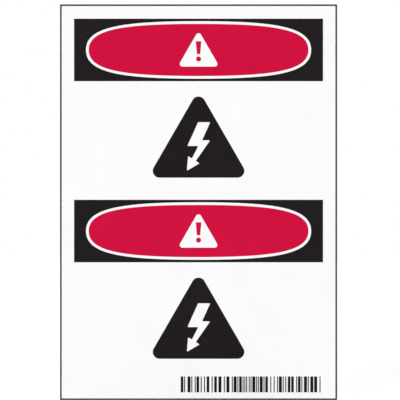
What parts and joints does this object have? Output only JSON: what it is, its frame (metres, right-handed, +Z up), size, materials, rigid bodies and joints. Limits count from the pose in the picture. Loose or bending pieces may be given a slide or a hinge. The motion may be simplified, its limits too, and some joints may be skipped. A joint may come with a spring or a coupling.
{
  "type": "high voltage warning sign",
  "caption": "Self-adhesive film warning sign, square-cornered, with a thin edge line and two black header panels that each frame a red oval in a white ring.",
  "frame": {"origin": "centre of the adhesive back, the face that goes against the wall, door or cabinet", "axes": "+Z up along the sign's height as it is read, +X to the reader's right, +Y out of the back into the surface that it is stuck to, so the printed face looks towards -Y"},
  "size_m": [0.0888, 0.0002, 0.127],
  "materials": {
    "white_film": "white polyester film, calendered smooth, semi-gloss on the printed face, with a clear acrylic adhesive on the back",
    "black_ink": "screen-printed black ink, satin",
    "red_ink": "screen-printed safety red ink, satin"
  },
  "bodies": {
    "root": {"sign_sheet": "white_film", "border_line": "black_ink", "upper_header_panel": "black_ink", "lower_header_panel": "black_ink", "upper_header_oval": "red_ink", "lower_header_oval": "red_ink"}
  },
  "joints": []
}
